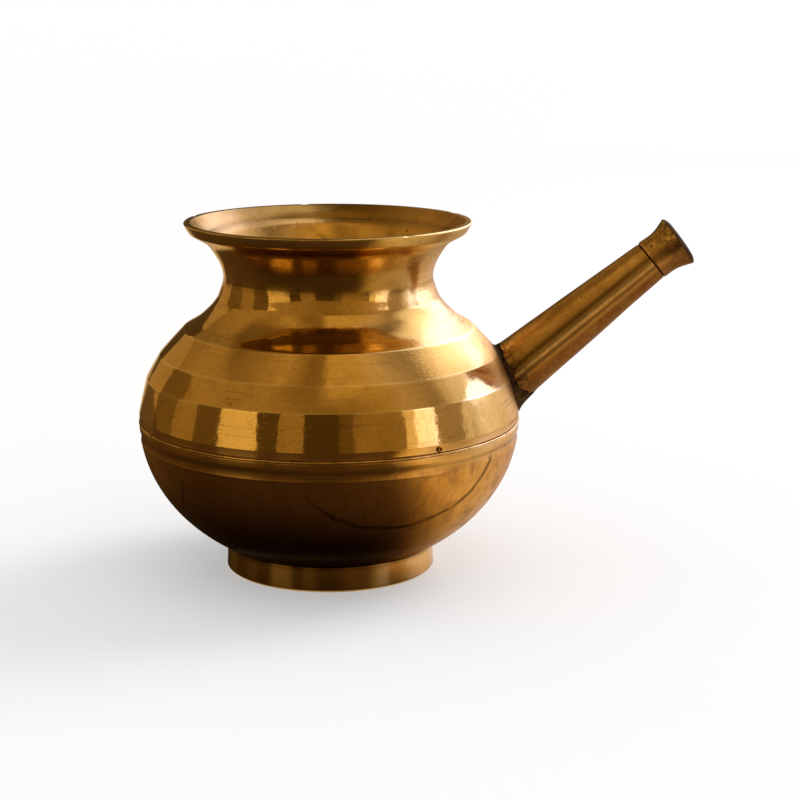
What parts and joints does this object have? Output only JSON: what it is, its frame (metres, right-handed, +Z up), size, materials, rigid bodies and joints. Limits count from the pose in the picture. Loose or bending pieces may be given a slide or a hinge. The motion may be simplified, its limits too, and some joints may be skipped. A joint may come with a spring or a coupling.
{
  "type": "spouted water pot",
  "caption": "Round-bellied brass water pot with a flared open mouth, a plain foot ring and a straight rising spout with a flared tip.",
  "frame": {"origin": "on the table, under the middle of the whole outline with the spout; the pot's own upright axis is 37.3 mm towards -X", "axes": "+Z up, the spout points to +X, and the XZ plane is the mirror plane"},
  "size_m": [0.24, 0.1654, 0.152],
  "materials": {
    "polished_brass": "worn polish with fine turning lines and light scratches",
    "aged_brass": "brown satin patina over brass",
    "dark_filler": "rough, blackened brazing and solder metal"
  },
  "bodies": {
    "root": {"upper_body": "polished_brass", "lower_bowl": "aged_brass", "belly_braze": "polished_brass", "foot_ring": "polished_brass", "foot_braze": "dark_filler", "spout_tube": "aged_brass", "spout_solder": "dark_filler", "spout_nozzle": "aged_brass", "nozzle_solder": "dark_filler"}
  },
  "joints": []
}
